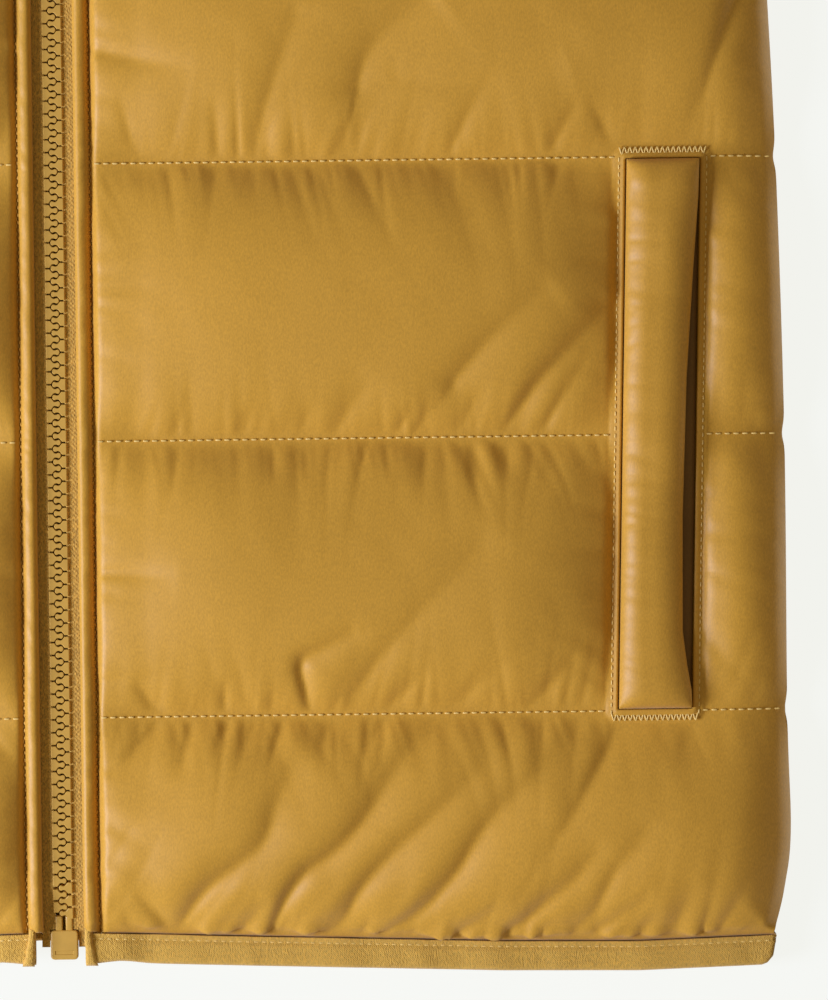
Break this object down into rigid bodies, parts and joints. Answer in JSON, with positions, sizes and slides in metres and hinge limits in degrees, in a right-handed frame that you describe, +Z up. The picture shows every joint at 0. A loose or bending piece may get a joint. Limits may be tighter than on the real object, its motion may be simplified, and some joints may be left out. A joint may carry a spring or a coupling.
{
  "type": "quilted vest",
  "caption": "Padded vest with horizontal quilting, stand collar, front zip, welt pockets and bound hem and armholes, zipped and laid flat on its back.",
  "frame": {"origin": "centre of the vest's outline on the surface it lies on, under the middle of the back", "axes": "+X towards the wearer's left side, +Y from the hem to the collar, +Z up from the surface, out of the fronts"},
  "size_m": [0.4302, 0.6384, 0.0209],
  "materials": {
    "quilted_shell": "light lustre nylon taffeta",
    "stretch_binding": "matte stretch binding",
    "pocket_cloth": "matte plain weave",
    "zip_tape": "matte woven tape",
    "zip_moulding": "satin moulded resin",
    "zip_metal": "satin paint"
  },
  "bodies": {
    "garment": {"armhole_binding_back_left": "stretch_binding", "armhole_binding_back_right": "stretch_binding", "armhole_binding_front_left": "stretch_binding", "armhole_binding_front_right": "stretch_binding", "back": "quilted_shell", "collar_back": "quilted_shell", "collar_left": "quilted_shell", "collar_right": "quilted_shell", "front_left": "quilted_shell", "front_right": "quilted_shell", "hem_binding_back": "stretch_binding", "hem_binding_left": "stretch_binding", "hem_binding_right": "stretch_binding", "pocket_bag_left": "pocket_cloth", "pocket_bag_right": "pocket_cloth", "pocket_welt_left": "quilted_shell", "pocket_welt_right": "quilted_shell", "zip_chain_left": "zip_moulding", "zip_chain_right": "zip_moulding", "zip_pin_left": "zip_moulding", "zip_pin_right": "zip_moulding", "zip_retainer_box": "zip_moulding", "zip_slider": "zip_metal", "zip_tape_left": "zip_tape", "zip_tape_right": "zip_tape"},
    "pull_tab": {"zip_pull_tab": "zip_metal"}
  },
  "joints": [
    {"name": "pull_tab_hinge", "type": "hinge", "parent": "garment", "child": "pull_tab", "pos_m": [0, 0.25535, 0.01345], "axis": [-1, 0, 0], "range_deg": [0, 165]}
  ]
}
